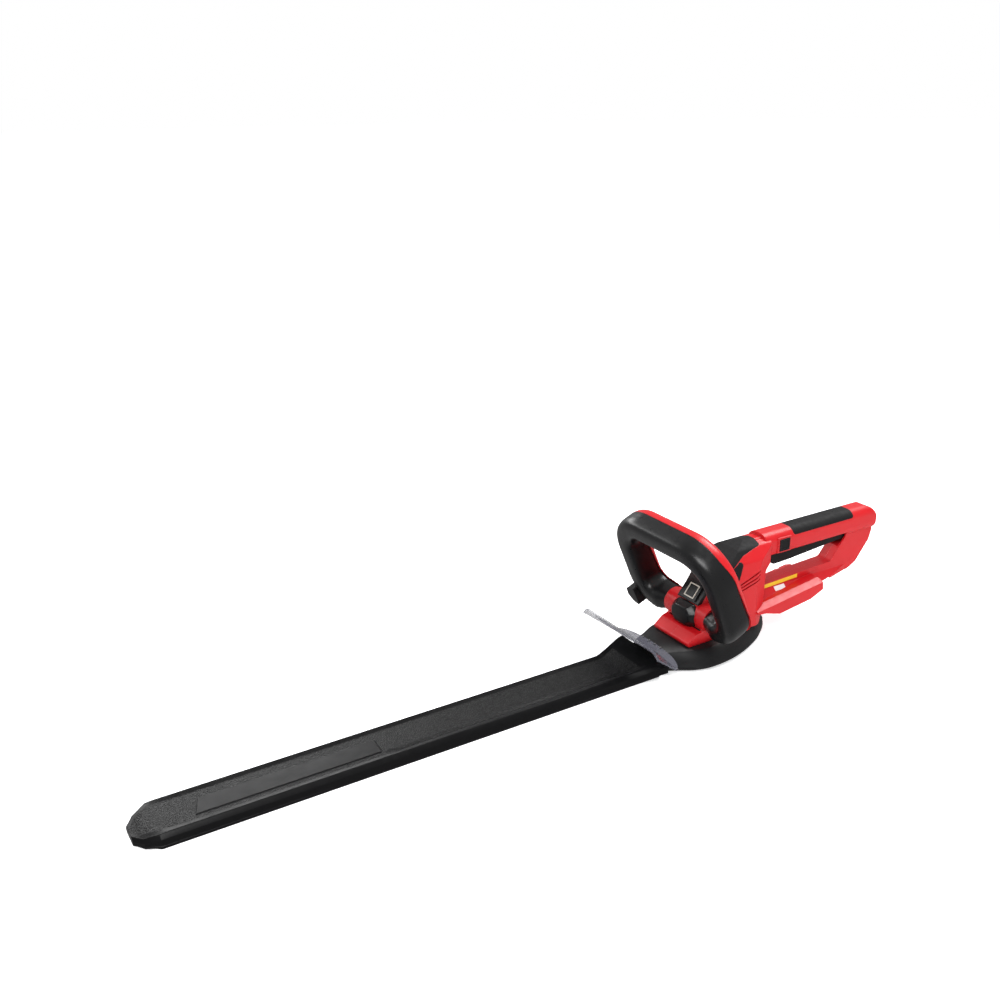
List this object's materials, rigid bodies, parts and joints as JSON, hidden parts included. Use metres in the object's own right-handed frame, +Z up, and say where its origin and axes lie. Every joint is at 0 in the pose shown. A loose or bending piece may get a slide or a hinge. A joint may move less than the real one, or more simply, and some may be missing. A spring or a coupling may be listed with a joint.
{
  "type": "hedge trimmer",
  "caption": "Cordless double-sided hedge trimmer with a loop front handle, clear hand guard, D-shaped rear handle and a slip-on blade sheath.",
  "frame": {"origin": "on the resting plane, under the centre line, at the mouth of the blade sheath", "axes": "+X from the blade tip to the rear handle, -Y to the operator's left, +Z up"},
  "size_m": [1.059, 0.2105, 0.1939],
  "materials": {
    "red_shell": "satin moulded",
    "black_shell": "satin moulded",
    "soft_black": "textured",
    "sheath_plastic": "moulded, pebbled",
    "clear_plastic": "clear",
    "blade_steel": "ground",
    "gear_steel": "machined",
    "die_cast": "die cast",
    "screw_steel": "zinc plated",
    "magnet": "sintered",
    "bronze": "sintered",
    "contact": "plated",
    "board": "solder mask",
    "felt": "felt",
    "badge": "printed plate"
  },
  "bodies": {
    "housing": {"left_housing": "red_shell", "right_housing": "red_shell", "loop_rear_shell": "red_shell", "loop_front_shell": "black_shell", "base_cover": "black_shell", "nose_cap": "black_shell", "left_side_panel": "black_shell", "right_side_panel": "black_shell", "motor_cap": "soft_black", "front_cover": "black_shell", "left_grip_pad": "soft_black", "right_grip_pad": "soft_black", "side_stop": "black_shell", "button_bezel": "black_shell", "badge_plate": "black_shell", "badge_frame": "badge", "hand_guard": "clear_plastic", "guide_bar": "blade_steel", "blade_bolts": "screw_steel", "blade_sleeves": "gear_steel", "blade_nuts": "screw_steel", "lower_crank_bearing": "bronze", "upper_crank_bearing": "bronze", "gear_case": "die_cast", "gear_case_lid": "die_cast", "motor_can": "gear_steel", "motor_magnets": "magnet", "base_screws": "screw_steel", "guard_screws": "screw_steel", "housing_screws": "screw_steel", "loop_screws": "screw_steel", "blade_wiper": "felt", "bar_switch": "black_shell", "bar_springs": "gear_steel", "trigger_pin": "gear_steel", "trigger_switch": "black_shell", "trigger_spring": "gear_steel", "left_battery_rail": "black_shell", "right_battery_rail": "black_shell", "terminal_block": "black_shell", "terminal_blades": "contact", "control_board": "board", "board_heat_sink": "die_cast"},
    "sheath": {"sheath_cover": "sheath_plastic", "sheath_tray": "sheath_plastic"},
    "lower_blade": {"lower_blade": "blade_steel"},
    "upper_blade": {"upper_blade": "blade_steel"},
    "crank": {"crank_shaft": "gear_steel", "lower_cam": "gear_steel", "upper_cam": "gear_steel", "drive_gear": "gear_steel"},
    "rotor": {"motor_shaft": "gear_steel", "pinion": "gear_steel", "rotor_core": "gear_steel", "cooling_fan": "black_shell"},
    "trigger": {"trigger": "black_shell"},
    "switch_bar": {"switch_bar": "black_shell"},
    "lock_button": {"lock_button": "black_shell"}
  },
  "joints": [
    {"name": "sheath_slide", "type": "slide", "parent": "housing", "child": "sheath", "axis": [-1, 0, 0], "range_m": [0, 0.66]},
    {"name": "crank_spin", "type": "hinge", "parent": "housing", "child": "crank", "pos_m": [0.108, 0, 0.02], "axis": [0, 0, 1], "continuous": true},
    {"name": "rotor_spin", "type": "hinge", "parent": "housing", "child": "rotor", "pos_m": [0.141, 0, 0.02], "axis": [0, 0, 1], "continuous": true},
    {"name": "lower_blade_slide", "type": "slide", "parent": "housing", "child": "lower_blade", "axis": [1, 0, 0], "range_m": [-0.006, 0.006]},
    {"name": "upper_blade_slide", "type": "slide", "parent": "housing", "child": "upper_blade", "axis": [1, 0, 0], "range_m": [-0.006, 0.006]},
    {"name": "trigger_swing", "type": "hinge", "parent": "housing", "child": "trigger", "pos_m": [0.35, 0, 0.114], "axis": [0, 1, 0], "range_deg": [0, 5], "stiffness_Nm_per_rad": 2, "springref_deg": -14.32},
    {"name": "bar_press", "type": "slide", "parent": "housing", "child": "switch_bar", "axis": [-0.3907, 0, 0.9205], "range_m": [0, 0.004], "stiffness_N_per_m": 600, "springref_m": -0.004},
    {"name": "button_press", "type": "slide", "parent": "housing", "child": "lock_button", "axis": [0, 1, 0], "range_m": [0, 0.0025], "stiffness_N_per_m": 400, "springref_m": -0.003}
  ],
  "couplings": [
    {"joint": "rotor_spin", "follows": "crank_spin", "ratio": -4.5},
    {"joint": "upper_blade_slide", "follows": "lower_blade_slide", "ratio": -1}
  ]
}
